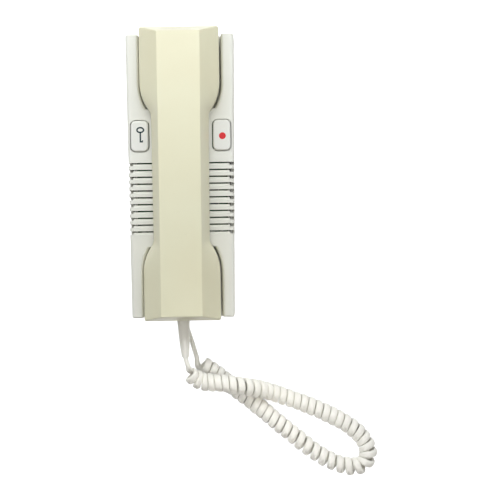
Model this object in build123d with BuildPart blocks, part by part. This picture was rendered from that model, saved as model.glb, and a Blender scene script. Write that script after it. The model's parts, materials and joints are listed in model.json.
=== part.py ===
from build123d import *
import os
from math import copysign, cos, pi, radians, sin, sqrt

# Wall intercom: a base unit with two call buttons and louvres, a handset and its curly cord.
# Millimetres. The unit lies on its back: +Z points out of its front, +Y towards the ear end.
# The origin is on the wall plane, under the middle of the handset.

os.makedirs("parts", exist_ok=True)

# Base unit, outside
base_length = 207.5
base_width_top = 79.5
base_width_bottom = 75.0
base_front = 30.0
base_middle = -1.0
base_corner = 1.4
base_edge = 2.8
wall = 2.2
fit_gap = 0.3

# Back plate and what stands on it
plate_thickness = 2.5
wall_screw_radius = 2.25
wall_screw_spacing = 140.0
cable_entry_width = 30.0
cable_entry_height = 14.0
cable_entry_middle = -16.0
post_radius = 3.2
board_height = 10.0
cover_screw_reach = 86.0

# Circuit board and what is soldered to it
board_width = 67.0
board_length = 92.0
board_gap = 1.5
board_thickness = 1.6
board_screw_x = 29.0
board_screw_inset = 4.0
terminal_width = 25.4
terminal_depth = 8.4
terminal_height = 10.5
terminal_count = 5
speaker_radius = 16.0
speaker_height = 7.0
speaker_middle = -8.0
switch_size = 6.0
switch_height = 3.6
switch_key_radius = 1.6
switch_key_height = 1.2
capacitor_radius = 3.2
capacitor_height = 11.0
capacitor_places = [(24.0, -10.0), (24.0, -20.0), (-24.0, -14.0)]

# Handset, outside: straight cups, drawn in to a slim grip, with a narrower flat face
handset_length = 213.2
ear_width = 57.8
mouth_width = 55.3
grip_width_ear = 41.6
grip_width_mouth = 40.4
ear_bend = 66.2
mouth_bend = -71.3
cup_radius = 34.0
neck_radius = 8.0
face_width_ear = 31.0
face_width_mouth = 29.6
face_inset_ear = 4.8
face_inset_mouth = 3.4
face_edge_width = 0.7
face_edge_drop = 0.3
handset_corner = 1.5
grip_gap = 3.0
grip_depth = 5.0
rim_band = 2.5
face_drop = 13.5
cup_gap = 0.4
cup_back_edge = 2.0
cup_draft = 4.0
cup_stop_gap = 1.3
shell = 2.4

# Pockets that take the cups
pocket_floor = 14.0
pocket_base = 3.2
pocket_gap = 1.2
pocket_ear_stop = 47.7
pocket_mouth_stop = -52.9
pocket_rim = 2.4

# Louvres: a slit over a sloping lip, open through the side wall at the outer end
louvre_count = 11
louvre_pitch = 5.0
louvre_first = 8.7
louvre_height = 2.4
louvre_slit = 0.9
louvre_depth = 1.7
louvre_inner = 17.0
louvre_side_floor = 15.0

# Buttons
button_inset = 8.94
button_y = 28.2
button_width = 12.9
button_length = 22.4
button_corner = 3.6
button_gap = 0.7
button_proud = 1.5
button_travel = 1.5
button_cap = 4.0
button_stem_radius = 2.0
button_flange = 1.2
button_edge = 1.2

# Hook plunger under the grip
hook_y = 38.0
hook_width = 9.0
hook_depth = 5.0
hook_gap = 0.3
hook_travel = 4.0
hook_flange = 2.0
hook_flange_height = 1.6
hook_stem_radius = 1.8
hook_switch_width = 12.8
hook_switch_depth = 5.8
hook_switch_height = 6.5
spring_wall = 0.6

# Receiver and microphone
capsule_inset = 26.6
capsule_radius = 19.0
capsule_height = 9.0
gasket_width = 3.0
gasket_height = 1.5
ring_wall = 1.4
ear_dish_radius = 15.0
ear_dish_depth = 1.2
ear_hole_radius = 0.9
ear_ring_radii = [4.2, 8.4]
ear_ring_counts = [6, 12]
microphone_inset = 18.6
microphone_radius = 4.85
microphone_height = 6.7
holder_radius = 7.5
mouth_hole_radius = 1.0
mouth_hole_spacing = 4.0

# Screws
screw_radius = 1.45
screw_head_radius = 2.8
screw_head_height = 1.8
screw_clearance = 0.15
handset_screw_ear = 54.5
handset_screw_mouth = -63.0
handset_screw_shoulder = 8.0
screw_reach = 9.0
screw_spare = 2.0
boss_radius = 3.6

# Curly cord and its exits
wire_diameter = 3.6
coil_diameter = 13.4
curl_pitch = 5.4
curl_gap = 0.6
curl_ramp = 14.0
curl_tightest = 4.8
lead_step = 6.0
mark_step = 0.8
curls_from = 3
curls_to = 25
cord_places = [
    (5.0, -149.5, 24.5), (14.0, -153.4, 21.6), (27.0, -154.0, 21.6), (40.5, -155.6, 21.6),
    (52.5, -158.6, 15.5), (64.0, -162.0, 9.0), (76.5, -166.2, 7.0), (91.0, -172.6, 7.0),
    (107.0, -180.0, 7.0), (121.0, -185.5, 7.0), (131.5, -194.0, 7.0), (138.5, -205.0, 7.0),
    (138.0, -217.0, 7.0), (128.5, -222.5, 7.0), (116.0, -217.5, 7.0), (103.5, -211.5, 7.0),
    (91.0, -205.0, 7.0), (78.0, -194.0, 7.0), (66.0, -183.0, 7.0), (52.5, -172.0, 7.0),
    (40.0, -163.5, 7.0), (29.0, -151.5, 7.0), (20.0, -141.5, 7.0), (11.8, -139.5, 5.5),
    (8.8, -132.0, 2.6), (5.0, -123.0, 3.2)]
relief_x = -0.1
relief_drop = 10.0
relief_lean = 2.4
relief_length = 27.6
relief_root_diameter = 8.6
relief_tip_diameter = 5.4
relief_waist_diameter = 7.7
relief_waist = 13.5
relief_collar_radius = 4.5
relief_collar_start = 0.5
relief_collar_end = 2.0
relief_edge = 0.6
relief_flange_radius = 5.5
relief_flange_start = -5.1
relief_flange_end = -3.6
grommet_x = 1.7
grommet_radius = 3.0
grommet_flange = 1.2
grommet_lip = 0.9

# Worked-out levels
base_top_end = base_middle + base_length / 2
base_bottom_end = base_middle - base_length / 2
grip_back_height = base_front + grip_gap
parting_height = grip_back_height + grip_depth
rim_height = parting_height + rim_band
handset_front_height = rim_height + face_drop
cup_back_height = pocket_floor + cup_gap
handset_screw_seat = parting_height - handset_screw_shoulder
relief_height = parting_height - relief_drop
grommet_height = (plate_thickness + pocket_floor - pocket_base) / 2
board_top = pocket_ear_stop - wall - board_gap
board_bottom = board_top - board_length
board_face = board_height + board_thickness
cover_ceiling = base_front - wall
side_lean = (base_width_top - base_width_bottom) / base_length
button_side = base_width_bottom / 2 + side_lean * (button_y - base_bottom_end) / 2
button_x = button_side - button_inset
handset_top_end = handset_length / 2
handset_bottom_end = -handset_length / 2
capsule_middle = handset_top_end - capsule_inset
microphone_middle = handset_bottom_end + microphone_inset


def base_outline(height, inset=0.0):
    """The base's outline, a trapezium that is wider at the ear end."""
    top = base_width_top / 2 - inset
    bottom = base_width_bottom / 2 - inset
    with BuildSketch(Plane.XY.offset(height)) as outline:
        with BuildLine():
            Polyline(
                (-top, base_top_end - inset), (-bottom, base_bottom_end + inset),
                (bottom, base_bottom_end + inset), (top, base_top_end - inset), close=True)
        make_face()
    return outline.sketch


def cup_outline(height, half_width, end, bend, stop, radius):
    """A cup seen from the front: straight sides from its end to the bend, then drawn in to the stop."""
    reach = abs(bend - stop)
    narrow = half_width - radius + sqrt(radius**2 - reach**2)
    inwards = (0, -1) if end > stop else (0, 1)
    with BuildSketch(Plane.XY.offset(height)) as outline:
        with BuildLine():
            Line((half_width, end), (half_width, bend))
            TangentArc((half_width, bend), (narrow, stop), tangent=inwards)
            Line((narrow, stop), (-narrow, stop))
            TangentArc((-half_width, bend), (-narrow, stop), tangent=inwards)
            Line((-half_width, bend), (-half_width, end))
            Line((-half_width, end), (half_width, end))
        make_face()
    return outline.sketch


def neck(half_cup, half_grip, bend, towards, grow):
    """Where the cup's curve meets the neck's curve, and where the neck ends on the grip."""
    cup = cup_radius + grow
    hollow = neck_radius - grow
    across = half_grip + hollow - half_cup + cup
    along = sqrt((cup + hollow) ** 2 - across**2)
    share = cup / (cup + hollow)
    meet = (half_cup - cup + across * share, bend + towards * along * share)
    return meet, (half_grip, bend + towards * along)


def handset_outline(height, grow=0.0):
    """The handset's outline: two cups joined by the slim grip, grown or shrunk by a wall."""
    ear = ear_width / 2 + grow
    mouth = mouth_width / 2 + grow
    ear_meet, ear_grip = neck(ear, grip_width_ear / 2 + grow, ear_bend, -1, grow)
    mouth_meet, mouth_grip = neck(mouth, grip_width_mouth / 2 + grow, mouth_bend, 1, grow)
    top = handset_top_end + grow
    bottom = handset_bottom_end - grow
    with BuildSketch(Plane.XY.offset(height)) as outline:
        with BuildLine() as half:
            Line((ear, top), (ear, ear_bend))
            TangentArc((ear, ear_bend), ear_meet, tangent=(0, -1))
            TangentArc(ear_grip, ear_meet, tangent=(0, 1))
            Line(ear_grip, mouth_grip)
            TangentArc(mouth_grip, mouth_meet, tangent=(0, -1))
            TangentArc((mouth, mouth_bend), mouth_meet, tangent=(0, 1))
            Line((mouth, mouth_bend), (mouth, bottom))
            mirror(half.edges(), about=Plane.YZ)
            Line((-ear, top), (ear, top))
            Line((mouth, bottom), (-mouth, bottom))
        make_face()
    return outline.sketch


def corner_cuts(height):
    """What the rounding of the handset's four end corners takes away."""
    with BuildSketch(Plane.XY.offset(height)) as cuts:
        for half, end in ((ear_width / 2, handset_top_end), (mouth_width / 2, handset_bottom_end)):
            for side in (1, -1):
                with Locations((side * half, end)):
                    Rectangle(2 * handset_corner, 2 * handset_corner)
                with Locations((side * (half - handset_corner), end - copysign(handset_corner, end))):
                    Circle(handset_corner, mode=Mode.SUBTRACT)
    return cuts.sketch


def face_outline(height, grow=0.0):
    """The flat face over the outline, cut at the same places so that the bevel is ruled between them."""
    ear = face_width_ear / 2 + grow
    mouth = face_width_mouth / 2 + grow
    top = handset_top_end - face_inset_ear + grow
    bottom = handset_bottom_end + face_inset_mouth - grow
    ear_meet, ear_grip = neck(ear_width / 2, grip_width_ear / 2, ear_bend, -1, 0)
    mouth_meet, mouth_grip = neck(mouth_width / 2, grip_width_mouth / 2, mouth_bend, 1, 0)
    levels = [top, ear_bend, ear_meet[1], ear_grip[1], mouth_grip[1], mouth_meet[1], mouth_bend, bottom]
    side = [(ear + (mouth - ear) * (top - level) / (top - bottom), level) for level in levels]
    other = [(-x, y) for x, y in reversed(side)]
    with BuildLine(Plane.XY.offset(height)) as outline:
        Polyline(*side, *other, close=True)
    return Face(outline.wires()[0])


def pan_screw(place, head_side, length):
    """A pan-head screw from the seat under its head, with a slot."""
    towards = Plane(origin=place, z_dir=(0, 0, head_side))
    with BuildPart(towards) as screw:
        Cylinder(screw_head_radius, screw_head_height, align=(Align.CENTER, Align.CENTER, Align.MIN))
        with BuildSketch(Plane(origin=towards.from_local_coords((0, 0, screw_head_height)),
                               z_dir=(0, 0, head_side))):
            Rectangle(2 * screw_head_radius, screw_head_height / 2)
        extrude(amount=-screw_head_height / 2, mode=Mode.SUBTRACT)
        Cylinder(screw_radius, length, align=(Align.CENTER, Align.CENTER, Align.MAX))
    return screw.part


def write(item, name):
    item.label = name
    export_step(item, "parts/" + name + ".step")


# Base cover: hollow housing with the two pockets let into its front
pocket_ear_half = ear_width / 2 + pocket_gap
pocket_mouth_half = mouth_width / 2 + pocket_gap
pocket_radius = cup_radius + pocket_gap
louvre_outer = base_width_bottom / 2 - wall
end_margin = 5.0
with BuildPart() as base_cover:
    extrude(base_outline(0), amount=base_front)
    long_edges = base_cover.edges().filter_by(lambda edge: edge.length > base_length / 2)
    fillet(long_edges.group_by(Axis.Z)[-1], base_edge)
    extrude(base_outline(0, wall), amount=cover_ceiling, mode=Mode.SUBTRACT)
    for half, end, bend, stop, side in (
            (pocket_ear_half, base_top_end, ear_bend, pocket_ear_stop, 1),
            (pocket_mouth_half, base_bottom_end, mouth_bend, pocket_mouth_stop, -1)):
        lining = cup_outline(pocket_floor - pocket_base, half + wall, end - side * wall / 2, bend,
                             stop - side * wall, pocket_radius + wall)
        extrude(lining, amount=base_front - pocket_floor + pocket_base)
    for half, end, bend, stop, side in (
            (pocket_ear_half, base_top_end, ear_bend, pocket_ear_stop, 1),
            (pocket_mouth_half, base_bottom_end, mouth_bend, pocket_mouth_stop, -1)):
        hollow = cup_outline(pocket_floor, half, end + side * end_margin, bend, stop, pocket_radius)
        extrude(hollow, amount=base_front, mode=Mode.SUBTRACT)
    rims = base_cover.edges().group_by(Axis.Z)[-1].filter_by(
        lambda edge: abs(edge.center().X) < pocket_ear_half + 0.1 and edge.length > 2 * pocket_rim
        and not pocket_mouth_stop - 1 < edge.center().Y < pocket_ear_stop + 1)
    fillet(rims, pocket_rim)
    for end in (0, -1):
        around = base_cover.faces().sort_by(Axis.Y)[end].edges()
        fillet(around.filter_by(lambda edge: abs(edge.center().X) > base_width_bottom / 4), base_corner)
    for side in (1, -1):
        with BuildSketch(Plane.XY.offset(base_front + 1)):
            with Locations((side * button_x, button_y)):
                RectangleRounded(button_width + 2 * button_gap, button_length + 2 * button_gap,
                                 button_corner + button_gap)
        extrude(amount=-wall - 2, mode=Mode.SUBTRACT)
        with BuildSketch(Plane.YZ.offset(side * louvre_inner)):
            for row in range(louvre_count):
                top = louvre_first - row * louvre_pitch
                with BuildLine():
                    Polyline((top, base_front + 1), (top, base_front - wall - 1),
                             (top - louvre_slit, base_front - wall - 1),
                             (top - louvre_slit, base_front - louvre_depth),
                             (top - louvre_height, base_front),
                             (top - louvre_height, base_front + 1), close=True)
                make_face()
        extrude(amount=side * (louvre_outer - louvre_inner + 0.5), mode=Mode.SUBTRACT)
        with BuildSketch(Plane.XY.offset(louvre_side_floor)):
            for row in range(louvre_count):
                top = louvre_first - row * louvre_pitch
                with Locations((side * (louvre_outer + base_edge + 2), top - louvre_height / 2)):
                    Rectangle(2 * (base_edge + 2), louvre_height)
        extrude(amount=base_front, mode=Mode.SUBTRACT)
    with BuildSketch(Plane.XY.offset(base_front + 1)):
        with Locations((0, hook_y)):
            RectangleRounded(hook_width + 2 * hook_gap, hook_depth + 2 * hook_gap, 1)
    extrude(amount=-wall - 2, mode=Mode.SUBTRACT)
    with Locations((0, cover_screw_reach, pocket_floor), (0, -cover_screw_reach, pocket_floor)):
        CounterBoreHole(screw_radius + screw_clearance, screw_head_radius + screw_clearance,
                        screw_head_height + screw_clearance, depth=pocket_base + 1)
    with BuildSketch(Plane.XZ.offset(-base_bottom_end + 1)):
        with Locations((grommet_x, grommet_height)):
            Circle(grommet_radius + screw_clearance)
    extrude(amount=-wall - 3, mode=Mode.SUBTRACT)
write(base_cover.part, "base_cover")

# Back plate: wall screw holes, cable entry, posts for the board and the cover screws
board_screws_at = [(side * board_screw_x, level) for side in (1, -1)
                   for level in (board_top - board_screw_inset, board_bottom + board_screw_inset)]
cover_screws_at = [(0, cover_screw_reach), (0, -cover_screw_reach)]
with BuildPart() as base_back:
    extrude(base_outline(0, wall + fit_gap), amount=plate_thickness)
    with BuildSketch(Plane.XY.offset(plate_thickness)):
        with Locations(*board_screws_at):
            Circle(post_radius)
    extrude(amount=board_height - plate_thickness)
    with BuildSketch(Plane.XY.offset(plate_thickness)):
        with Locations(*cover_screws_at):
            Circle(boss_radius)
    extrude(amount=pocket_floor - pocket_base - plate_thickness)
    with Locations(*[(x, y, board_height) for x, y in board_screws_at]):
        Hole(screw_radius + screw_clearance / 3, depth=board_height - 1)
    with Locations(*[(x, y, pocket_floor - pocket_base) for x, y in cover_screws_at]):
        Hole(screw_radius + screw_clearance / 3, depth=pocket_floor - pocket_base - 1)
    with Locations((0, base_middle + wall_screw_spacing / 2, plate_thickness),
                   (0, base_middle - wall_screw_spacing / 2, plate_thickness)):
        Hole(wall_screw_radius)
    with BuildSketch(Plane.XY):
        with Locations((0, cable_entry_middle)):
            RectangleRounded(cable_entry_width, cable_entry_height, 2)
    extrude(amount=plate_thickness, mode=Mode.SUBTRACT)
write(base_back.part, "base_back")

# Circuit board
with BuildPart() as circuit_board:
    with BuildSketch(Plane.XY.offset(board_height)):
        with Locations((0, (board_top + board_bottom) / 2)):
            RectangleRounded(board_width, board_top - board_bottom, 1.5)
        with Locations(*board_screws_at):
            Circle(screw_radius + screw_clearance, mode=Mode.SUBTRACT)
    extrude(amount=board_thickness)
write(circuit_board.part, "circuit_board")

with BuildPart() as board_screws:
    for x, y in board_screws_at:
        add(pan_screw((x, y, board_face), 1, board_height - plate_thickness))
write(board_screws.part, "board_screws")

with BuildPart() as cover_screws:
    for x, y in cover_screws_at:
        add(pan_screw((x, y, pocket_floor - screw_head_height - screw_clearance), 1,
                      pocket_floor - pocket_base - plate_thickness))
write(cover_screws.part, "cover_screws")

# Terminal block with a clamp screw over each wire
terminal_y = board_bottom + terminal_depth / 2 + 1
terminal_pitch = terminal_width / terminal_count
terminals_x = [(pole - (terminal_count - 1) / 2) * terminal_pitch for pole in range(terminal_count)]
with BuildPart() as terminal_block:
    with BuildSketch(Plane.XY.offset(board_face)):
        with Locations((0, terminal_y)):
            Rectangle(terminal_width, terminal_depth)
    extrude(amount=terminal_height)
    with Locations(*[(x, terminal_y, board_face + terminal_height) for x in terminals_x]):
        Hole(1.9, depth=4.0)
    with BuildSketch(Plane.XZ.offset(-terminal_y + terminal_depth / 2)):
        with Locations(*[(x, board_face + 3.0) for x in terminals_x]):
            Rectangle(3.4, 3.6)
    extrude(amount=-terminal_depth / 2, mode=Mode.SUBTRACT)
write(terminal_block.part, "terminal_block")

with BuildPart() as terminal_screws:
    for x in terminals_x:
        with BuildPart(Plane.XY.offset(board_face + terminal_height - 4.0), mode=Mode.PRIVATE) as screw:
            with Locations((x, terminal_y)):
                Cylinder(1.75, 2.4, align=(Align.CENTER, Align.CENTER, Align.MIN))
        add(screw.part)
write(terminal_screws.part, "terminal_screws")

# Call loudspeaker: basket, rim and the magnet's step
with BuildPart() as call_speaker:
    with BuildSketch(Plane.XZ):
        with BuildLine():
            Polyline((0, board_face), (0.55 * speaker_radius, board_face),
                     (0.55 * speaker_radius, board_face + 0.35 * speaker_height),
                     (speaker_radius, board_face + 0.75 * speaker_height),
                     (speaker_radius, board_face + speaker_height),
                     (0.86 * speaker_radius, board_face + speaker_height),
                     (0.3 * speaker_radius, board_face + 0.6 * speaker_height),
                     (0, board_face + 0.7 * speaker_height), close=True)
        make_face()
    revolve(axis=Axis.Z)
with BuildPart() as speaker_placed:
    with Locations((0, speaker_middle, 0)):
        add(call_speaker.part)
write(speaker_placed.part, "call_speaker")

# Switches pressed by the two buttons
with BuildPart() as tact_switches:
    with BuildSketch(Plane.XY.offset(board_face)):
        with Locations((button_x, button_y), (-button_x, button_y)):
            Rectangle(switch_size, switch_size)
    extrude(amount=switch_height)
    with BuildSketch(Plane.XY.offset(board_face + switch_height)):
        with Locations((button_x, button_y), (-button_x, button_y)):
            Circle(switch_key_radius)
    extrude(amount=switch_key_height)
write(tact_switches.part, "tact_switches")

# Smoothing capacitors beside the loudspeaker
with BuildPart() as capacitors:
    with BuildSketch(Plane.XY.offset(board_face)):
        with Locations(*capacitor_places):
            Circle(capacitor_radius)
    extrude(amount=capacitor_height)
write(capacitors.part, "capacitors")

# Buttons: crowned cap, inner flange that keeps it in the cover, stem over the switch
button_top = base_front + button_proud
stem_end = board_face + switch_height + switch_key_height + button_travel + 0.1
for side, name in ((-1, "door_button"), (1, "call_button")):
    with BuildPart() as button:
        with BuildSketch(Plane.XY.offset(button_top - button_cap)):
            with Locations((side * button_x, button_y)):
                RectangleRounded(button_width, button_length, button_corner)
        extrude(amount=button_cap)
        fillet(button.faces().sort_by(Axis.Z)[-1].edges(), button_edge)
        with BuildSketch(Plane.XY.offset(cover_ceiling - 0.1 - button_flange)):
            with Locations((side * button_x, button_y)):
                Rectangle(button_width - 1, button_length + 2 * button_gap + 2 * button_flange)
        extrude(amount=button_flange)
        with BuildSketch(Plane.XY.offset(stem_end)):
            with Locations((side * button_x, button_y)):
                Circle(button_stem_radius)
        extrude(amount=button_top - button_cap - stem_end)
    write(button.part, name)

# Hook plunger, held down by the grip, with its spring and switch
hook_top = grip_back_height - 0.3
hook_switch_top = board_face + hook_switch_height
hook_flange_top = cover_ceiling - hook_travel - 0.4
with BuildPart() as hook_switch:
    with BuildSketch(Plane.XY.offset(board_face)):
        with Locations((0, hook_y)):
            Rectangle(hook_switch_width, hook_switch_depth)
    extrude(amount=hook_switch_height)
write(hook_switch.part, "hook_switch")

with BuildPart() as hook_plunger:
    with BuildSketch(Plane.XY.offset(hook_flange_top)):
        with Locations((0, hook_y)):
            RectangleRounded(hook_width, hook_depth, 0.8)
    extrude(amount=hook_top - hook_flange_top)
    fillet(hook_plunger.faces().sort_by(Axis.Z)[-1].edges(), 0.7)
    with BuildSketch(Plane.XY.offset(hook_flange_top - hook_flange_height)):
        with Locations((0, hook_y)):
            RectangleRounded(hook_width + 2 * hook_flange, hook_depth + 2 * hook_flange, 1)
    extrude(amount=hook_flange_height)
    with BuildSketch(Plane.XY.offset(hook_switch_top + 0.1)):
        with Locations((0, hook_y)):
            Circle(hook_stem_radius)
    extrude(amount=hook_flange_top - hook_flange_height - hook_switch_top - 0.1)
write(hook_plunger.part, "hook_plunger")

with BuildPart() as hook_spring:
    with BuildSketch(Plane.XY.offset(hook_switch_top)):
        with Locations((0, hook_y)):
            Circle(hook_stem_radius + 0.3 + spring_wall)
            Circle(hook_stem_radius + 0.3, mode=Mode.SUBTRACT)
    extrude(amount=hook_flange_top - hook_flange_height - hook_switch_top)
write(hook_spring.part, "hook_spring")

# Grommet where the cord enters the base
with BuildPart() as base_cord_grommet:
    with BuildSketch(Plane.XZ.offset(-base_bottom_end)):
        with Locations((grommet_x, grommet_height)):
            Circle(grommet_radius)
    extrude(amount=-wall)
    for start in (-base_bottom_end, -base_bottom_end - wall - grommet_flange):
        with BuildSketch(Plane.XZ.offset(start)):
            with Locations((grommet_x, grommet_height)):
                Circle(grommet_radius + grommet_lip)
        extrude(amount=grommet_flange)
write(base_cord_grommet.part, "base_cord_grommet")

# Handset front: the ruled shell that narrows to the flat face, with two screw bosses
handset_screws_at = [(0, handset_screw_ear), (0, handset_screw_mouth)]
face_ceiling = handset_front_height - shell
with BuildPart() as handset_front:
    bevel_top = face_outline(handset_front_height - face_edge_drop, face_edge_width)
    loft([handset_outline(rim_height), bevel_top], ruled=True)
    loft([bevel_top, face_outline(handset_front_height)], ruled=True)
    extrude(handset_outline(parting_height), amount=rim_height - parting_height)
    extrude(corner_cuts(parting_height), amount=handset_front_height, mode=Mode.SUBTRACT)
    extrude(handset_outline(parting_height, -shell), amount=rim_height - parting_height,
            mode=Mode.SUBTRACT)
    loft([handset_outline(rim_height, -shell), face_outline(face_ceiling, -shell / 2)], ruled=True,
         mode=Mode.SUBTRACT)
    with BuildSketch(Plane.XY.offset(parting_height)):
        with Locations(*handset_screws_at):
            Circle(boss_radius)
    extrude(amount=face_ceiling - parting_height)
    with Locations(*[(x, y, parting_height) for x, y in handset_screws_at]):
        Cylinder(screw_radius + screw_clearance / 3, screw_reach + screw_spare,
                 align=(Align.CENTER, Align.CENTER, Align.MIN), mode=Mode.SUBTRACT)
write(handset_front.part, "handset_front")

# Handset back: grip back, two deeper cups with their grilles, bosses and capsule rings
cups = [(ear_width / 2, handset_top_end, ear_bend, pocket_ear_stop + cup_stop_gap),
        (mouth_width / 2, handset_bottom_end, mouth_bend, pocket_mouth_stop - cup_stop_gap)]
with BuildPart() as handset_back:
    extrude(handset_outline(grip_back_height), amount=parting_height - grip_back_height)
    for half, end, bend, stop in cups:
        extrude(cup_outline(grip_back_height, half, end, bend, stop, cup_radius),
                amount=-(grip_back_height - cup_back_height), taper=cup_draft)
    for cup_bottom in handset_back.faces().filter_by(Axis.Z).sort_by(Axis.Z)[:2]:
        fillet(cup_bottom.edges(), cup_back_edge)
    extrude(corner_cuts(0), amount=parting_height, mode=Mode.SUBTRACT)
    extrude(handset_outline(grip_back_height + shell, -shell),
            amount=parting_height - grip_back_height - shell, mode=Mode.SUBTRACT)
    for half, end, bend, stop in cups:
        inwards = shell if end > 0 else -shell
        extrude(cup_outline(grip_back_height + shell, half - shell, end - inwards, bend, stop + inwards,
                            cup_radius - shell),
                amount=-(grip_back_height - cup_back_height), taper=cup_draft, mode=Mode.SUBTRACT)
    with BuildSketch(Plane.XY.offset(cup_back_height)):
        with Locations(*handset_screws_at):
            Circle(boss_radius + 0.8)
    extrude(amount=parting_height - cup_back_height)
    with Locations(*[(x, y, cup_back_height) for x, y in handset_screws_at]):
        Cylinder(screw_head_radius + screw_clearance, handset_screw_seat - cup_back_height,
                 align=(Align.CENTER, Align.CENTER, Align.MIN), mode=Mode.SUBTRACT)
        Cylinder(screw_radius + screw_clearance, parting_height - cup_back_height,
                 align=(Align.CENTER, Align.CENTER, Align.MIN), mode=Mode.SUBTRACT)
    with BuildSketch(Plane.XY.offset(cup_back_height + shell)):
        with Locations((0, capsule_middle)):
            Circle(capsule_radius + screw_clearance + ring_wall)
            Circle(capsule_radius + screw_clearance, mode=Mode.SUBTRACT)
        with Locations((0, microphone_middle)):
            Circle(holder_radius + screw_clearance + ring_wall)
            Circle(holder_radius + screw_clearance, mode=Mode.SUBTRACT)
    extrude(amount=capsule_height / 2)
    with BuildSketch(Plane(origin=(0, capsule_middle, 0), x_dir=(1, 0, 0), z_dir=(0, -1, 0))):
        with BuildLine():
            Polyline((0, cup_back_height - 1), (ear_dish_radius, cup_back_height - 1),
                     (ear_dish_radius, cup_back_height), (0, cup_back_height + ear_dish_depth),
                     (0, cup_back_height - 1))
        make_face()
    revolve(axis=Axis((0, capsule_middle, 0), (0, 0, 1)), mode=Mode.SUBTRACT)
    with BuildSketch(Plane.XY.offset(cup_back_height - 1)):
        with Locations((0, capsule_middle)):
            Circle(ear_hole_radius)
            for radius, count in zip(ear_ring_radii, ear_ring_counts):
                with PolarLocations(radius, count):
                    Circle(ear_hole_radius)
        with Locations((0, microphone_middle)):
            with GridLocations(mouth_hole_spacing, mouth_hole_spacing, 3, 1):
                Circle(mouth_hole_radius)
            with GridLocations(mouth_hole_spacing, 2 * mouth_hole_spacing, 1, 2):
                Circle(mouth_hole_radius)
    extrude(amount=shell + 2, mode=Mode.SUBTRACT)
    with BuildSketch(Plane.XZ.offset(-handset_bottom_end + 1)):
        with Locations((0, relief_height)):
            Circle(relief_root_diameter / 2 + fit_gap / 2)
    extrude(amount=-shell - 3, mode=Mode.SUBTRACT)
write(handset_back.part, "handset_back")

with BuildPart() as handset_screws:
    for x, y in handset_screws_at:
        add(pan_screw((x, y, handset_screw_seat), -1, handset_screw_shoulder + screw_reach))
write(handset_screws.part, "handset_screws")

# Receiver capsule on its gasket
gasket_level = cup_back_height + shell
capsule_level = gasket_level + gasket_height
with BuildPart() as receiver_gasket:
    with BuildSketch(Plane.XY.offset(gasket_level)):
        with Locations((0, capsule_middle)):
            Circle(capsule_radius)
            Circle(capsule_radius - gasket_width, mode=Mode.SUBTRACT)
    extrude(amount=gasket_height)
write(receiver_gasket.part, "receiver_gasket")

with BuildPart() as receiver_capsule:
    with Locations((0, capsule_middle, capsule_level)):
        Cylinder(capsule_radius, capsule_height * 0.6, align=(Align.CENTER, Align.CENTER, Align.MIN))
    with Locations((0, capsule_middle, capsule_level + capsule_height * 0.6)):
        Cylinder(capsule_radius * 0.62, capsule_height * 0.4, align=(Align.CENTER, Align.CENTER, Align.MIN))
write(receiver_capsule.part, "receiver_capsule")

# Microphone capsule in its rubber holder
with BuildPart() as microphone_holder:
    with Locations((0, microphone_middle, gasket_level)):
        Cylinder(holder_radius, microphone_height + 1, align=(Align.CENTER, Align.CENTER, Align.MIN))
        Cylinder(mouth_hole_radius * 3, 1, align=(Align.CENTER, Align.CENTER, Align.MIN),
                 mode=Mode.SUBTRACT)
    with Locations((0, microphone_middle, gasket_level + 1)):
        Cylinder(microphone_radius, microphone_height, align=(Align.CENTER, Align.CENTER, Align.MIN),
                 mode=Mode.SUBTRACT)
write(microphone_holder.part, "microphone_holder")

with BuildPart() as microphone_capsule:
    with Locations((0, microphone_middle, gasket_level + 1)):
        Cylinder(microphone_radius, microphone_height, align=(Align.CENTER, Align.CENTER, Align.MIN))
write(microphone_capsule.part, "microphone_capsule")

# Strain relief: flange inside the handset, neck in its hole, collar and tapered sleeve outside
relief_way = Vector(sin(radians(relief_lean)), -cos(radians(relief_lean)), 0)
relief_root = Vector(relief_x, handset_bottom_end, relief_height)
relief_tip = relief_root + relief_way * relief_length
root_radius = relief_root_diameter / 2
tip_radius = relief_tip_diameter / 2
with BuildPart() as handset_strain_relief:
    with BuildSketch(Plane(origin=relief_root, x_dir=(0, 0, 1), z_dir=Vector(0, 0, 1).cross(relief_way))):
        with BuildLine():
            Polyline((root_radius, relief_collar_end), (relief_collar_radius, relief_collar_end),
                     (relief_collar_radius, relief_collar_start), (root_radius - 0.1, relief_collar_start),
                     (root_radius - 0.1, relief_flange_end), (relief_flange_radius, relief_flange_end),
                     (relief_flange_radius, relief_flange_start), (0, relief_flange_start),
                     (0, relief_length), (tip_radius - relief_edge, relief_length),
                     (tip_radius, relief_length - relief_edge))
            ThreePointArc((tip_radius, relief_length - relief_edge),
                          (relief_waist_diameter / 2, relief_waist), (root_radius, relief_collar_end))
        make_face()
    revolve(axis=Axis(relief_root, relief_way))
write(handset_strain_relief.part, "handset_strain_relief")


def parabola(first, middle, last, share):
    """Point, direction and curvature on the parabola from first to last, drawn towards middle."""
    point = first * (1 - share) ** 2 + middle * (2 * share * (1 - share)) + last * share**2
    way = (middle - first) * (1 - share) + (last - middle) * share
    bend = 0.5 * way.cross(first + last - middle * 2).length / way.length**3
    return point, way.normalized(), bend


def smooth_course(corners, steps):
    """The cord's course as short steps: parabolas between the middles of the runs."""
    course = []
    for k in range(1, len(corners) - 1):
        first = corners[0] if k == 1 else (corners[k - 1] + corners[k]) / 2
        last = corners[-1] if k == len(corners) - 2 else (corners[k] + corners[k + 1]) / 2
        course += [(*parabola(first, corners[k], last, i / steps), k) for i in range(steps)]
    last_way = (corners[-1] - corners[-2]).normalized()
    return course + [(corners[-1], last_way, 0, len(corners) - 2)]


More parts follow.
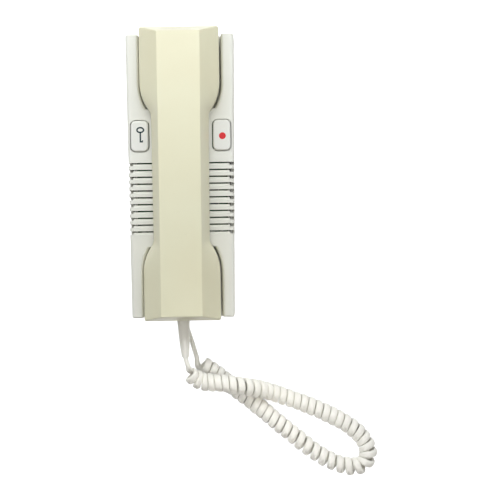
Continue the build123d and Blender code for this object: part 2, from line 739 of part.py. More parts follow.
def wound_course(course):
    """The wire's own line: the course with curls around its middle part."""
    curl_radius = (coil_diameter - wire_diameter) / 2
    travel = [0]
    for before, after in zip(course, course[1:]):
        travel.append(travel[-1] + (after[0] - before[0]).length)
    inside = [s for s, step in zip(travel, course) if curls_from <= step[3] < curls_to]
    phase = 0
    wire = []
    for i, (point, way, bend, corner) in enumerate(course):
        ramp = min(1, max(0, min(travel[i] - inside[0], inside[-1] - travel[i]) / curl_ramp))
        radius = curl_radius * ramp**2 * (3 - 2 * ramp)
        tight = max(0, radius * (curl_tightest - radius))
        pitch = max(curl_pitch, 2 * pi * sqrt(tight), (wire_diameter + curl_gap) / (1 - radius * bend))
        phase += 2 * pi * (travel[i] - travel[i - 1]) / pitch if 0 < ramp else 0
        side = Vector(0, 0, 1).cross(way).normalized()
        wire.append((point + side * radius * cos(phase) + way.cross(side) * radius * sin(phase),
                     phase, travel[i]))
    return wire


def biarc(start, start_way, end, end_way):
    """Two arcs that leave one point and reach the other in the given directions."""
    across = end - start
    twice = 2 * (start_way.dot(end_way) - 1)
    slope = -2 * across.dot(start_way + end_way)
    reach = (-slope - sqrt(slope**2 - 4 * twice * across.dot(across))) / (2 * twice)
    first_corner = start + start_way * reach
    last_corner = end - end_way * reach
    meet = (first_corner + last_corner) / 2
    TangentArc(start, meet, tangent=start_way)
    TangentArc(meet, end, tangent=last_corner - first_corner)


# Curly cord, one tube from the relief's tip to the grommet
grommet_face = Vector(grommet_x, base_bottom_end - grommet_flange, grommet_height)
corners = [relief_tip + relief_way * wire_diameter, relief_tip + relief_way * (wire_diameter + 5)]
corners += [Vector(*place) for place in cord_places]
corners += [grommet_face - Vector(0, wire_diameter + 6, 0), grommet_face - Vector(0, wire_diameter, 0)]
wire = wound_course(smooth_course(corners, 90))
knots = [0]
for i in range(1, len(wire)):
    travelled = wire[i][2] - wire[knots[-1]][2]
    half_turns = int(wire[i][1] / pi) - int(wire[knots[-1]][1] / pi)
    if half_turns or travelled > lead_step or i == len(wire) - 1:
        if travelled < wire_diameter / 2 and len(knots) > 1:
            knots.pop()
        knots.append(i)
ways = [relief_way] + [(wire[i + 1][0] - wire[i - 1][0]).normalized() for i in knots[1:-1]]
ways.append(Vector(0, 1, 0))
with BuildPart() as handset_cord:
    with BuildLine() as cord_line:
        Line(relief_tip, wire[0][0])
        for before, after, way, next_way in zip(knots, knots[1:], ways, ways[1:]):
            biarc(wire[before][0], way, wire[after][0], next_way)
        Line(wire[-1][0], grommet_face)
    with BuildSketch(Plane(origin=relief_tip, z_dir=relief_way)):
        Circle(wire_diameter / 2)
    sweep(path=cord_line.line)
write(handset_cord.part, "handset_cord")

# The cord's length, its tightest bend and its least gap to itself, measured on points of its line
marks = []
tightest = coil_diameter
for edge in cord_line.edges():
    steps = int(edge.length / mark_step) + 1
    marks += [tuple(edge @ (i / steps)) for i in range(steps)]
    if edge.geom_type == GeomType.CIRCLE:
        tightest = min(tightest, edge.radius)
apart = int(3 * wire_diameter / mark_step)
nearest = coil_diameter
for i, (x, y, z) in enumerate(marks):
    for other_x, other_y, other_z in marks[i + apart:]:
        if abs(other_x - x) < nearest and abs(other_y - y) < nearest:
            nearest = min(nearest, sqrt((other_x - x) ** 2 + (other_y - y) ** 2 + (other_z - z) ** 2))
cord_length = sum(edge.length for edge in cord_line.edges())
print("cord length", round(cord_length, 1), "tightest bend", round(tightest, 2),
      "least gap to itself", round(nearest - wire_diameter, 2),
      "lowest point", round(min(mark[2] for mark in marks) - wire_diameter / 2, 2))
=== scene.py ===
import bpy
import bmesh
import json
from bisect import bisect
from math import copysign, cos, pi, radians, sin, sqrt
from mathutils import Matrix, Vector


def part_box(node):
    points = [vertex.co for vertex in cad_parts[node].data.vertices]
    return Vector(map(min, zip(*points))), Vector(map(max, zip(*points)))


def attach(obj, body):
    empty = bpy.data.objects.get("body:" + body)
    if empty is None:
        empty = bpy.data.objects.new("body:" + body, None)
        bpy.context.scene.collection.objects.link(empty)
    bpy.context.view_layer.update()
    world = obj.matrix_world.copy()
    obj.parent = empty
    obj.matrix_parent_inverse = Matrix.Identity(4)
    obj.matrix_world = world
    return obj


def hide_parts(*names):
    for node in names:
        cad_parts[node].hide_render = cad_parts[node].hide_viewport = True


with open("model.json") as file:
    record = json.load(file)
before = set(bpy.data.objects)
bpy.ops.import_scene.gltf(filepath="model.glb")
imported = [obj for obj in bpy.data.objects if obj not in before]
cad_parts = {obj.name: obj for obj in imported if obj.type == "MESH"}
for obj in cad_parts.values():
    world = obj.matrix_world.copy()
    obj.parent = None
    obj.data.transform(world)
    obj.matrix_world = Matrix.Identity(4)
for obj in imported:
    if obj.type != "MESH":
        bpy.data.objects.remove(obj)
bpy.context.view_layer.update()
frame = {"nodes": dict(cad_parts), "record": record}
nodes = frame["nodes"]
slot_of = {part["node"]: part["material_slot"] for part in frame["record"]["subparts"]}
scene = bpy.context.scene
scene.view_settings.view_transform = "Standard"
MM = 0.001


# Objects and meshes
def new_object(name, data):
    thing = bpy.data.objects.new(name, data)
    scene.collection.objects.link(thing)
    return thing


def object_from(form, name, material):
    """The form as an object of its own; the form is used up."""
    mesh = bpy.data.meshes.new(name)
    form.to_mesh(mesh)
    form.free()
    mesh.materials.append(material)
    return new_object(name, mesh)


def skin(form, rings):
    """Smooth faces from ring to ring, with a face over the first ring and one over the last."""
    for before, after in zip(rings, rings[1:]):
        for i in range(len(before)):
            form.faces.new((before[i - 1], before[i], after[i], after[i - 1]))
    form.faces.new(rings[0][::-1])
    form.faces.new(rings[-1])
    bmesh.ops.recalc_face_normals(form, faces=form.faces)
    for face in form.faces:
        face.smooth = True


# Camera: straight above the set, which lies a little askew in the picture.
# Its place, lens and sensor are in millimetres, its turn in degrees.
CAMERA_PLACE = (49.4, -56.1, 1120.0)
CAMERA_LENS = 107.4
CAMERA_SENSOR = 36.0
CAMERA_TURN = -0.85


def add_camera():
    data = bpy.data.cameras.new("camera")
    data.lens = CAMERA_LENS
    data.sensor_width = CAMERA_SENSOR
    camera = new_object("camera", data)
    camera.location = Vector(CAMERA_PLACE) * MM
    camera.rotation_euler = (0, 0, radians(CAMERA_TURN))
    scene.camera = camera


# Room: a soft dome, brightest where DOME_MIDDLE points and dim from DOME_DARK_FROM on,
# which is a cosine, and lights as name, place, aim and size in metres, power in watts,
# colour and, in degrees, how wide the beam spreads
DOME_COLOUR = (1.0, 0.97, 0.91, 1.0)
DOME_MIDDLE = (0.0, 0.3, 0.954)
DOME_DARK_FROM = -0.25
DOME_DIM = 0.03
DOME_BRIGHT = 0.41
COOL = (0.92, 0.96, 1.0)
NEUTRAL = (1.0, 1.0, 0.97)
WARM = (1.0, 0.99, 0.96)
ALL_ROUND = 180.0
NARROW = 27.0
AREA_LIGHTS = [
    ("key", (0.0, 0.26, 0.38), (0.0, 0.02, 0.0), (0.9, 0.2), 2.3, COOL, ALL_ROUND),
    ("left", (-0.7, 0.1, 0.45), (0.0, 0.0, 0.0), (0.5, 0.4), 0.95, NEUTRAL, ALL_ROUND),
    ("right", (0.7, 0.1, 0.45), (0.0, 0.0, 0.0), (0.5, 0.4), 0.70, NEUTRAL, ALL_ROUND),
    ("cord", (0.10, -0.52, 0.20), (0.05, -0.17, 0.0), (0.4, 0.15), 0.22, WARM, ALL_ROUND),
    ("loop", (0.09, -0.26, 0.62), (0.062, -0.178, 0.0), (0.08, 0.08), 0.026, WARM, NARROW)]


def add_area_light(name, place, aim, size, power, colour, spread):
    data = bpy.data.lights.new(name, "AREA")
    data.shape = "RECTANGLE"
    data.size, data.size_y = size
    data.energy = power
    data.color = colour
    data.spread = radians(spread)
    light = new_object(name, data)
    light.location = place
    light.rotation_euler = (Vector(aim) - Vector(place)).to_track_quat("-Z", "Y").to_euler()


def add_room():
    """A soft dome, bright overhead and beyond the ear end, dim behind the cord."""
    world = bpy.data.worlds.new("room")
    world.use_nodes = True
    tree = world.node_tree
    place = tree.nodes.new("ShaderNodeTexCoord")
    facing = tree.nodes.new("ShaderNodeVectorMath")
    facing.operation = "DOT_PRODUCT"
    facing.inputs[1].default_value = DOME_MIDDLE
    strength = tree.nodes.new("ShaderNodeMapRange")
    strength.inputs["From Min"].default_value = DOME_DARK_FROM
    strength.inputs["From Max"].default_value = 1.0
    strength.inputs["To Min"].default_value = DOME_DIM
    strength.inputs["To Max"].default_value = DOME_BRIGHT
    background = tree.nodes["Background"]
    background.inputs["Color"].default_value = DOME_COLOUR
    tree.links.new(place.outputs["Generated"], facing.inputs[0])
    tree.links.new(facing.outputs["Value"], strength.inputs["Value"])
    tree.links.new(strength.outputs["Result"], background.inputs["Strength"])
    scene.world = world
    for light in AREA_LIGHTS:
        add_area_light(*light)


# Floor: a pale sheet that glows a little, so that it stays plain; lengths in metres
FLOOR_REACH = 3.0
FLOOR_DROP = 0.0002
FLOOR_GREY = (0.9, 0.9, 0.9, 1)
FLOOR_GLOW = (1, 1, 1, 1)
FLOOR_GLOW_STRENGTH = 0.9
FLOOR_ROUGHNESS = 0.9


def add_floor():
    material = bpy.data.materials.new("floor")
    material.use_nodes = True
    surface = material.node_tree.nodes["Principled BSDF"]
    surface.inputs["Base Color"].default_value = FLOOR_GREY
    surface.inputs["Roughness"].default_value = FLOOR_ROUGHNESS
    surface.inputs["Specular IOR Level"].default_value = 0.0
    surface.inputs["Emission Color"].default_value = FLOOR_GLOW
    surface.inputs["Emission Strength"].default_value = FLOOR_GLOW_STRENGTH
    form = bmesh.new()
    bmesh.ops.create_grid(form, x_segments=1, y_segments=1, size=FLOOR_REACH)
    floor = object_from(form, "floor", material)
    floor.location = (0, 0, -FLOOR_DROP)
    floor.visible_diffuse = False


# Materials: each is built of noise at its real scale, on the object's own coordinates.
# Noise is given in spots a metre, and depths in millimetres. A RANGE is the part of the
# noise's values that counts, from where the effect starts to where it is full.
PLASTIC_GLOSS = 0.5
AGE_SPOTS = 16.0
AGE_RANGE = (0.35, 0.7)
DUST_SPOTS = 420.0
DUST_RANGE = (0.62, 0.78)
DUST_MOST = 0.35
DUST_SHADE = 0.86
HANDLING_SPOTS = 60.0
HANDLING_RANGE = (0.3, 0.7)
HANDLED_SMOOTHER = 0.06
HANDLED_ROUGHER = 0.08
WAVE_SPOTS = 45.0
WAVE_STRENGTH = 0.12
WAVE_DEPTH = 0.25
GRAIN_SPOTS = 1600.0
GRAIN_STRENGTH = 0.35
GRAIN_DEPTH = 0.02
MARK_SPOTS = 900.0
MARK_STRETCH = (1.0, 8.0, 1.0)
MARK_RANGE = (0.3, 0.7)
MARK_SHADE = 0.8
MARK_SMOOTHER = 0.08
MARK_ROUGHER = 0.1
MARK_STRENGTH = 0.2
MARK_DEPTH = 0.02
INK_SPOTS = 2500.0
INK_RANGE = (0.35, 0.65)
INK_SHADE = 1.25
INK_ROUGHNESS = 0.45
INK_STRENGTH = 0.2
INK_DEPTH = 0.01
KEY_INK = (0.008, 0.028, 0.034)
DOT_INK = (0.62, 0.015, 0.02)
# Each plastic's colour, the colour that it ages to, its roughness and its grain
PLASTICS = {
    "base_plastic": ((0.845, 0.845, 0.785), (0.825, 0.82, 0.745), 0.42, GRAIN_SPOTS),
    "handset_plastic": ((0.785, 0.765, 0.57), (0.76, 0.725, 0.525), 0.36, GRAIN_SPOTS),
    "button_plastic": ((0.83, 0.83, 0.79), (0.81, 0.805, 0.75), 0.34, GRAIN_SPOTS),
    "cord_plastic": ((0.94, 0.93, 0.88), (0.92, 0.90, 0.83), 0.38, 900.0),
    "board": ((0.02, 0.10, 0.04), (0.03, 0.12, 0.05), 0.45, GRAIN_SPOTS),
    "inner_plastic": ((0.02, 0.02, 0.022), (0.03, 0.03, 0.03), 0.5, GRAIN_SPOTS),
    "terminal_plastic": ((0.03, 0.20, 0.08), (0.04, 0.22, 0.09), 0.45, GRAIN_SPOTS),
    "capacitor_sleeve": ((0.01, 0.015, 0.05), (0.02, 0.02, 0.05), 0.25, GRAIN_SPOTS),
    "rubber": ((0.02, 0.02, 0.02), (0.03, 0.03, 0.03), 0.7, 700.0)}
# Each metal's colour and roughness
METALS = {
    "capsule_metal": ((0.60, 0.60, 0.62), 0.35),
    "steel": ((0.55, 0.55, 0.56), 0.3)}


def new_material(name):
    """A material and its one surface shader."""
    material = bpy.data.materials.new(name)
    material.use_nodes = True
    return material, nodes_of(material)["Principled BSDF"]


def nodes_of(material):
    return material.node_tree.nodes


def joined(material, output, target):
    material.node_tree.links.new(output, target)


def noise(material, scale, detail, roughness=0.5, stretch=(1.0, 1.0, 1.0)):
    """A noise pattern of that many spots a metre."""
    place = nodes_of(material).new("ShaderNodeTexCoord")
    spread = nodes_of(material).new("ShaderNodeMapping")
    spread.inputs["Scale"].default_value = stretch
    pattern = nodes_of(material).new("ShaderNodeTexNoise")
    pattern.inputs["Scale"].default_value = scale
    pattern.inputs["Detail"].default_value = detail
    pattern.inputs["Roughness"].default_value = roughness
    joined(material, place.outputs["Object"], spread.inputs["Vector"])
    joined(material, spread.outputs["Vector"], pattern.inputs["Vector"])
    return pattern.outputs["Fac"]


def spread_over(material, source, part, to_low, to_high):
    """The source's values in that part of their range, spread from to_low to to_high."""
    ranged = nodes_of(material).new("ShaderNodeMapRange")
    ranged.inputs["From Min"].default_value = part[0]
    ranged.inputs["From Max"].default_value = part[1]
    ranged.inputs["To Min"].default_value = to_low
    ranged.inputs["To Max"].default_value = to_high
    joined(material, source, ranged.inputs["Value"])
    return ranged.outputs["Result"]


def mixed(material, share, first, second):
    """Two colours, or a colour and another mix, by a share."""
    mix = nodes_of(material).new("ShaderNodeMix")
    mix.data_type = "RGBA"
    for socket, colour in ((mix.inputs[6], first), (mix.inputs[7], second)):
        if isinstance(colour, tuple):
            socket.default_value = (*colour, 1.0)
        else:
            joined(material, colour, socket)
    joined(material, share, mix.inputs[0])
    return mix.outputs[2]


def relief(material, height, strength, distance, under=None):
    """The height as bumps, on top of the bumps under it."""
    bump = nodes_of(material).new("ShaderNodeBump")
    bump.inputs["Strength"].default_value = strength
    bump.inputs["Distance"].default_value = distance * MM
    joined(material, height, bump.inputs["Height"])
    if under is not None:
        joined(material, under, bump.inputs["Normal"])
    return bump.outputs["Normal"]


def scaled(colour, factor):
    return tuple(part * factor for part in colour)


def moulded(name, colour, aged, roughness, grain):
    """Moulded plastic: an eroded grain, a slow waviness, a little yellowing, dust and handling."""
    material, surface = new_material(name)
    surface.inputs["Specular IOR Level"].default_value = PLASTIC_GLOSS
    ageing = spread_over(material, noise(material, AGE_SPOTS, 2.0), AGE_RANGE, 0.0, 1.0)
    tint = mixed(material, ageing, colour, aged)
    dust = spread_over(material, noise(material, DUST_SPOTS, 6.0, 0.7), DUST_RANGE, 0.0, DUST_MOST)
    dusty = mixed(material, dust, tint, scaled(aged, DUST_SHADE))
    joined(material, dusty, surface.inputs["Base Color"])
    handling = spread_over(material, noise(material, HANDLING_SPOTS, 5.0, 0.6), HANDLING_RANGE,
                           roughness - HANDLED_SMOOTHER, roughness + HANDLED_ROUGHER)
    joined(material, handling, surface.inputs["Roughness"])
    wave = relief(material, noise(material, WAVE_SPOTS, 1.0), WAVE_STRENGTH, WAVE_DEPTH)
    fine = relief(material, noise(material, grain, 2.0), GRAIN_STRENGTH, GRAIN_DEPTH, wave)
    joined(material, fine, surface.inputs["Normal"])
    return material


def metal(name, colour, roughness):
    """Plated or drawn metal with fine marks along it."""
    material, surface = new_material(name)
    surface.inputs["Metallic"].default_value = 1.0
    marks = noise(material, MARK_SPOTS, 4.0, 0.6, MARK_STRETCH)
    tint = mixed(material, marks, scaled(colour, MARK_SHADE), colour)
    joined(material, tint, surface.inputs["Base Color"])
    worn = spread_over(material, marks, MARK_RANGE,
                       roughness - MARK_SMOOTHER, roughness + MARK_ROUGHER)
    joined(material, worn, surface.inputs["Roughness"])
    bumps = relief(material, marks, MARK_STRENGTH, MARK_DEPTH)
    joined(material, bumps, surface.inputs["Normal"])
    return material


def printed(name, colour):
    """Screen print: its ink is a little uneven."""
    material, surface = new_material(name)
    surface.inputs["Roughness"].default_value = INK_ROUGHNESS
    ink = spread_over(material, noise(material, INK_SPOTS, 4.0), INK_RANGE, 0.0, 1.0)
    tint = mixed(material, ink, colour, scaled(colour, INK_SHADE))
    joined(material, tint, surface.inputs["Base Color"])
    joined(material, relief(material, ink, INK_STRENGTH, INK_DEPTH), surface.inputs["Normal"])
    return material


def make_materials():
    made = {name: moulded(name, *look) for name, look in PLASTICS.items()}
    made.update({name: metal(name, *look) for name, look in METALS.items()})
    return made


def dress_nodes(materials):
    for name, node in nodes.items():
        node.data.materials.clear()
        node.data.materials.append(materials[slot_of[name]])


# Handset's front shell: the solid's form and sizes, on a fine mesh with its edges rounded.
# Heights above the wall first, then widths and lengths, all in millimetres. A cup is its
# half width, the grip's half width beside it, where its straight side bends in, and which
# way its end lies; the face has a half width and a place at each end.
PARTING = 38.0
RIM = 40.5
CEILING = 51.6
FRONT = 54.0
SHELL = 2.4
HANDSET_END = 106.6
EAR_CUP = (28.9, 20.8, 66.2, 1)
MOUTH_CUP = (27.65, 20.2, -71.3, -1)
CUP_RADIUS = 34.0
NECK_RADIUS = 8.0
FACE_EAR = (15.4, 101.8)
FACE_MOUTH = (14.8, -103.2)
OUTLINE_CORNER = 1.5
FACE_CORNER = 0.4
FACE_ROUND = 0.55
RIM_ROUND = 0.45
NECK_STEP = 0.8
SHARP_EDGE = 40
# How many steps a form has, and the shares where the bevel and the face get a loop
CORNER_STEPS = 6
END_STEPS = 8
SIDE_STEPS = 14
GRIP_STEPS = 36
ROUND_OFF_STEPS = 4
BEVEL_SHARES = (0.03, 0.2, 0.4, 0.6, 0.8, 0.97)
FACE_INSETS = (1.6, 4.0)


def cup_outline(cup, grow):
    """Half widths and places of one cup, from its straight side to where it joins the grip."""
    half_cup, half_grip, bend, outwards = cup
    half_cup, half_grip = half_cup + grow, half_grip + grow
    round_cup, hollow = CUP_RADIUS + grow, NECK_RADIUS - grow
    sideways = half_grip + hollow - half_cup + round_cup
    along = sqrt((round_cup + hollow) ** 2 - sideways**2)
    meet = along * round_cup / (round_cup + hollow)
    steps = round(along / NECK_STEP)
    side = []
    for i in range(steps + 1):
        away = along * i / steps
        if away < meet:
            half = half_cup - round_cup + sqrt(round_cup**2 - away**2)
        else:
            half = half_grip + hollow - sqrt(hollow**2 - (along - away) ** 2)
        side.append((half, bend - outwards * away))
    return side


def end_points(half, end, bend, corner):
    """From the middle of an end round its corner to the bend of the straight side."""
    outwards = copysign(1.0, end)
    points = [((half - corner) * i / END_STEPS, end) for i in range(END_STEPS)]
    for i in range(CORNER_STEPS + 1):
        angle = pi / 2 * i / CORNER_STEPS
        points.append((half - corner + corner * sin(angle),
                       end - outwards * corner * (1 - cos(angle))))
    start = end - outwards * corner
    points += [(half, start + (bend - start) * i / SIDE_STEPS) for i in range(1, SIDE_STEPS)]
    return points


def handset_loop(grow):
    """The handset's outline, grown or shrunk, from the middle of the ear end down one side."""
    ear, mouth = cup_outline(EAR_CUP, grow), cup_outline(MOUTH_CUP, grow)
    corner = max(OUTLINE_CORNER + grow, FACE_CORNER)
    points = end_points(EAR_CUP[0] + grow, HANDSET_END + grow, EAR_CUP[2], corner) + ear
    for i in range(1, GRIP_STEPS):
        points.append(tuple(Vector(ear[-1]).lerp(Vector(mouth[-1]), i / GRIP_STEPS)))
    points += mouth[::-1]
    points += end_points(MOUTH_CUP[0] + grow, -HANDSET_END - grow, MOUTH_CUP[2], corner)[::-1]
    return points


def face_loop(outline, grow):
    """The flat face's points, each over its own point of the outline."""
    ends = END_STEPS + CORNER_STEPS + SIDE_STEPS
    (ear, top), (mouth, bottom) = FACE_EAR, FACE_MOUTH
    points = end_points(ear + grow, top + grow, EAR_CUP[2], FACE_CORNER)
    for _, y in outline[ends:-ends]:
        points.append((mouth + (ear - mouth) * (y - bottom) / (top - bottom) + grow, y))
    points += end_points(mouth + grow, bottom - grow, MOUTH_CUP[2], FACE_CORNER)[::-1]
    return points


def lifted(loop, height):
    return [Vector((x, y, height)) for x, y in loop]


def between(first, second, share):
    return [a.lerp(b, share) for a, b in zip(first, second)]


def rounded(before, corner, after):
    """Loops that round an edge off, the corner loop, from one side's loop to the other's."""
    shares = [i / ROUND_OFF_STEPS for i in range(ROUND_OFF_STEPS + 1)]
    return [between(between(before, corner, share), between(corner, after, share), share)
            for share in shares]


def front_loops():
    """The shell's loops, down inside from its ceiling, out at the parting line, up to its face."""
    outline, inner = handset_loop(0.0), handset_loop(-SHELL)
    rim, face = lifted(outline, RIM), lifted(face_loop(outline, 0.0), FRONT)
    slope = sqrt((FRONT - RIM) ** 2 + (EAR_CUP[0] - FACE_EAR[0]) ** 2)
    low = between(rim, face, RIM_ROUND / slope)
    high = between(rim, face, 1 - FACE_ROUND / slope)
    loops = [lifted(face_loop(inner, -SHELL / 2), CEILING), lifted(inner, RIM),
             lifted(inner, PARTING), lifted(outline, PARTING),
             lifted(outline, RIM - 2 * RIM_ROUND)]
    loops += rounded(lifted(outline, RIM - RIM_ROUND), rim, low)
    loops += [between(low, high, share) for share in BEVEL_SHARES]
    loops += rounded(high, face, lifted(face_loop(outline, -FACE_ROUND), FRONT))
    loops += [lifted(face_loop(outline, -FACE_ROUND * inset), FRONT) for inset in FACE_INSETS]
    return loops


def add_handset_front(material):
    form = bmesh.new()
    rings = []
    for loop in front_loops():
        right = [form.verts.new(point * MM) for point in loop]
        left = [form.verts.new((-point.x * MM, point.y * MM, point.z * MM))
                for point in loop[1:-1]]
        rings.append(right + left[::-1])
    skin(form, rings)
    for edge in form.edges:
        edge.smooth = edge.calc_face_angle(0.0) < radians(SHARP_EDGE)
    front = object_from(form, "handset_front_shell", material)
    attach(front, "handset")
    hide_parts("handset_front")


# Signs on the buttons, printed on the flat tops: a key and a dot, in millimetres
PRINT_LIFT = 0.03
KEY_LINE = 1.1
KEY_BOW = (-29.4, 32.6)
KEY_BOW_SIZE = (4.8, 3.5)
KEY_SHAFT_END = 23.5
KEY_BIT_END = -27.5
KEY_TOOTH = 0.6
DOT_PLACE = (30.5, 27.6)
DOT_SIZE = (5.0, 5.0)
ROUND_STEPS = 48
SAME_PLACE = 1e-7


def flat_print(name, body, button, faces, material):
    """Flat ink on a button: each face is a list of points in the button's plane."""
    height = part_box(button)[1].z + PRINT_LIFT * MM
    form = bmesh.new()
    for face in faces:
        form.faces.new([form.verts.new((x * MM, y * MM, height)) for x, y in face])
    bmesh.ops.remove_doubles(form, verts=form.verts, dist=SAME_PLACE)
    ink = object_from(form, name, material)
    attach(ink, body)


def ellipse(centre, size):
    angles = [2 * pi * i / ROUND_STEPS for i in range(ROUND_STEPS)]
    return [(centre[0] + size[0] / 2 * cos(angle), centre[1] + size[1] / 2 * sin(angle))
            for angle in angles]


def bar(x_from, x_to, y_from, y_to):
    return [(x_from, y_from), (x_to, y_from), (x_to, y_to), (x_from, y_to)]


def add_signs():
    half = KEY_LINE / 2
    outer = ellipse(KEY_BOW, [size + KEY_LINE for size in KEY_BOW_SIZE])
    inner = ellipse(KEY_BOW, [size - KEY_LINE for size in KEY_BOW_SIZE])
    key = [[outer[i - 1], outer[i], inner[i], inner[i - 1]] for i in range(ROUND_STEPS)]
    shaft_top = KEY_BOW[1] - KEY_BOW_SIZE[1] / 2
    key.append(bar(KEY_BOW[0] - half, KEY_BOW[0] + half, KEY_SHAFT_END, shaft_top))
    key.append(bar(KEY_BOW[0] + half, KEY_BIT_END, KEY_SHAFT_END, KEY_SHAFT_END + KEY_LINE))
    key.append(bar(KEY_BIT_END - KEY_TOOTH, KEY_BIT_END, KEY_SHAFT_END + KEY_LINE,
                   KEY_SHAFT_END + KEY_LINE + KEY_TOOTH))
    flat_print("key_sign", "door_key", "door_button", key, printed("key_ink", KEY_INK))
    dot = [ellipse(DOT_PLACE, DOT_SIZE)]
    flat_print("call_sign", "call_key", "call_button", dot, printed("dot_ink", DOT_INK))


# Cord: a flat oval wire wound about a line, in millimetres. The route's points are the
# control points of that one smooth line.
WIRE_WIDTH = 5.3
WIRE_THICKNESS = 3.3
COIL_DIAMETER = 13.4
# How far the curls are apart, at distances along the line
CURL_PITCHES = [
    (0.0, 4.9), (30.0, 5.2), (60.0, 5.8), (130.0, 5.7), (160.0, 5.8), (185.0, 6.7),
    (220.0, 6.9), (262.0, 5.7), (400.0, 5.4)]
# The straight leads, and how gradually the coil opens out of them and starts to turn
FIRST_LEAD = 8.5
LAST_LEAD = 37.5
FIRST_RAMP = 8.0
LAST_RAMP = 6.5
FIRST_SPEEDING = 7.0
LAST_SLOWING = 4.0
LEAST_TURNING = 0.5
# Angles in radians: where the first curl starts, how far the leads are twisted, and the
# part of a whole turn that the last curl ends at
FIRST_TURN = -pi / 2
FIRST_TWIST = pi / 2
TWIST_LENGTH = 7.0
LAST_TURN_SHARE = 0.12
LAST_TWIST = -FIRST_TURN - 2 * pi * LAST_TURN_SHARE
# Slow waves that make the coil's size and pitch uneven: a share, and radians a millimetre
SIZE_WAVES = ((0.02, 0.31), (0.015, 0.117))
PITCH_WAVE = (0.03, 0.23)
# The bend is taken over this much each way, and the wire narrows to this share of its room
BEND_WINDOW = 4.0
WIRE_ROOM = 0.96
# The section: powers below 1 make it fuller than an ellipse
WIDTH_POWER = 0.72
THICKNESS_POWER = 0.8
RING_STEP = 0.8
RING_SIDES = 16
ROUTE_DETAIL = 40
RELIEF_OVERLAP = 3.0
CORD_ROUTE = [
    (1.06, -134.18, 28.0), (1.6, -137.2, 28.0), (3.6, -142.8, 27.0), (6.2, -148.6, 24.6),
    (11.8, -152.2, 22.4), (19.0, -153.3, 21.6), (27.0, -153.8, 21.6), (40.5, -155.6, 21.6),
    (52.5, -158.5, 15.5), (64.0, -162.0, 9.2), (76.0, -166.6, 7.0), (88.0, -171.0, 7.0),
    (99.5, -175.9, 7.0), (110.5, -181.4, 7.0), (120.5, -187.0, 7.0), (128.6, -193.8, 7.0),
    (133.9, -201.0, 7.0), (135.9, -209.5, 7.0), (132.2, -217.2, 7.0), (123.5, -219.0, 7.0),
    (113.0, -216.6, 7.0), (102.5, -211.6, 7.0), (91.5, -204.2, 7.0), (80.0, -194.4, 7.0),
    (67.5, -184.5, 7.0), (54.5, -173.0, 7.0), (41.5, -162.4, 7.0), (30.5, -153.8, 7.0),
    (21.5, -146.7, 7.0), (14.5, -142.0, 7.7), (10.9, -140.0, 6.2), (8.7, -136.6, 4.0),
    (7.2, -131.8, 2.9), (5.4, -125.6, 2.8), (3.4, -119.0, 4.4), (1.8, -113.6, 6.3),
    (1.7, -109.55, 6.65), (1.7, -105.95, 6.65)]


def line_points():
    """Points along the smooth line that the route's points shape, in millimetres."""
    curve = bpy.data.curves.new("route", "CURVE")
    curve.dimensions = "3D"
    curve.resolution_u = ROUTE_DETAIL
    spline = curve.splines.new("NURBS")
    spline.points.add(len(CORD_ROUTE) - 1)
    for point, place in zip(spline.points, CORD_ROUTE):
        point.co = (*(Vector(place) * MM), 1)
    spline.order_u = 3
    spline.use_endpoint_u = True
    holder = new_object("route", curve)
    bpy.context.view_layer.update()
    mesh = bpy.data.meshes.new_from_object(holder)
    points = [vertex.co / MM for vertex in mesh.vertices]
    bpy.data.meshes.remove(mesh)
    bpy.data.objects.remove(holder)
    bpy.data.curves.remove(curve)
    return points


def smooth(share):
    share = max(0.0, min(1.0, share))
    return share * share * (3 - 2 * share)


class Line:
    """A line through many points, read by the distance along it."""

    def __init__(self, points):
        self.points = points
        self.travel = [0.0]
        for before, after in zip(points, points[1:]):
            self.travel.append(self.travel[-1] + (after - before).length)
        self.length = self.travel[-1]
        last = len(points) - 1
        self.ways = [(points[min(i + 1, last)] - points[max(i - 1, 0)]).normalized()
                     for i in range(len(points))]

    def at(self, travel):
        """The place and the direction at that distance."""
        travel = max(0.0, min(self.length, travel))
        i = min(bisect(self.travel, travel), len(self.points) - 1)
        share = (travel - self.travel[i - 1]) / (self.travel[i] - self.travel[i - 1])
        place = self.points[i - 1].lerp(self.points[i], share)
        return place, self.ways[i - 1].lerp(self.ways[i], share).normalized()

    def bend(self, travel):
        """How the direction changes there, towards the inside of the bend."""
        change = self.at(travel + BEND_WINDOW)[1] - self.at(travel - BEND_WINDOW)[1]
        return change / (2 * BEND_WINDOW)


def across(way):
    """Two directions square to the way: sideways, and the one nearest to up."""
    side = Vector((0, 0, 1)).cross(way).normalized()
    return side, way.cross(side)


def wave(travel, share, rate):
    return share * sin(travel * rate)


def pitch_at(travel):
    for (before, low), (after, high) in zip(CURL_PITCHES, CURL_PITCHES[1:]):
        if travel < after:
            return low + (high - low) * smooth((travel - before) / (after - before))
    return CURL_PITCHES[-1][1]


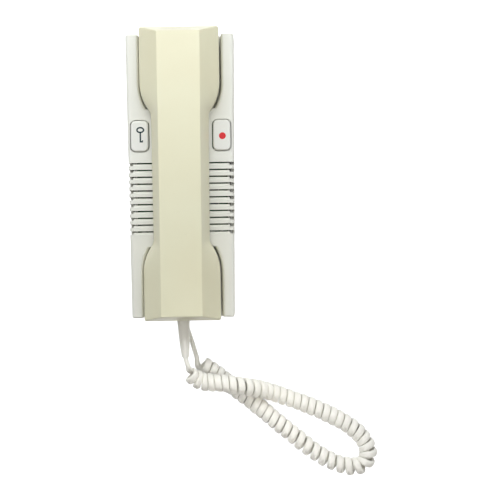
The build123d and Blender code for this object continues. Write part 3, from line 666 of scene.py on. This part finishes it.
def wind(line, rate_factor):
    """The cord's middle line, where its flat side faces, its widths, and how far it has turned."""
    radius = (COIL_DIAMETER - WIRE_THICKNESS) / 2
    stop = line.length - LAST_LEAD
    places, faces, widths = [], [], []
    travel, turn = 0.0, 0.0
    while travel < line.length:
        place, way = line.at(travel)
        side, up = across(way)
        wound, left = travel - FIRST_LEAD, stop - travel
        opened = smooth(wound / FIRST_RAMP) * smooth((stop + LAST_RAMP - travel) / LAST_RAMP)
        uneven = 1 + wave(travel, *SIZE_WAVES[0]) + wave(travel, *SIZE_WAVES[1])
        reach = radius * opened * uneven
        outwards = side * cos(FIRST_TURN + turn) + up * sin(FIRST_TURN + turn)
        places.append(place + outwards * reach)
        laid = 1 - smooth((wound + TWIST_LENGTH / 2) / TWIST_LENGTH)
        raised = smooth((travel - stop) / TWIST_LENGTH)
        facing = FIRST_TURN + turn + FIRST_TWIST * laid + LAST_TWIST * raised
        faces.append(side * cos(facing) + up * sin(facing))
        pitch = pitch_at(travel) * (1 + wave(travel, *PITCH_WAVE))
        turning = smooth(wound / FIRST_SPEEDING) * smooth(left / LAST_SLOWING)
        inside = 1 - reach * outwards.dot(line.bend(travel))
        room = pitch * inside / max(turning, LEAST_TURNING)
        widths.append(min(WIRE_WIDTH, room * WIRE_ROOM))
        rate = 2 * pi / pitch * turning * rate_factor
        step = RING_STEP / sqrt(1 + (reach * rate) ** 2)
        travel += step
        turn += step * rate
    places[-1] = line.at(line.length)[0]
    return places, faces, widths, turn


def wound_line():
    """The wound cord, turned so that its last curl ends where the photograph shows it."""
    line = Line(line_points())
    turns = wind(line, 1.0)[3] / (2 * pi)
    return wind(line, (int(turns) + LAST_TURN_SHARE) / turns)[:3]


def fuller(value, power):
    """A sine or cosine that stays near its ends for longer."""
    return copysign(abs(value) ** power, value)


def swept(name, places, faces, widths, material):
    """A flat cable with round edges along the places; each face is where its flat side looks."""
    form = bmesh.new()
    last = len(places) - 1
    rings = []
    for i, place in enumerate(places):
        way = (places[min(i + 1, last)] - places[max(i - 1, 0)]).normalized()
        wide = way.cross(faces[i]).normalized()
        thick = wide.cross(way)
        ring = []
        for side in range(RING_SIDES):
            angle = 2 * pi * side / RING_SIDES
            along_width = fuller(cos(angle), WIDTH_POWER) * widths[i] / 2
            along_thickness = fuller(sin(angle), THICKNESS_POWER) * WIRE_THICKNESS / 2
            point = place + wide * along_width + thick * along_thickness
            ring.append(form.verts.new(point * MM))
        rings.append(ring)
    skin(form, rings)
    return object_from(form, name, material)


def add_cord(material):
    places, faces, widths = wound_line()
    inwards = (places[0] - places[1]).normalized() * RELIEF_OVERLAP
    places.insert(0, places[0] + inwards)
    faces.insert(0, faces[0])
    widths.insert(0, widths[0])
    cord = swept("curly_cord", places, faces, widths, material)
    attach(cord, "base")
    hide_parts("handset_cord")


add_camera()
add_room()
add_floor()
materials = make_materials()
dress_nodes(materials)
add_handset_front(materials["handset_plastic"])
add_signs()
add_cord(materials["cord_plastic"])
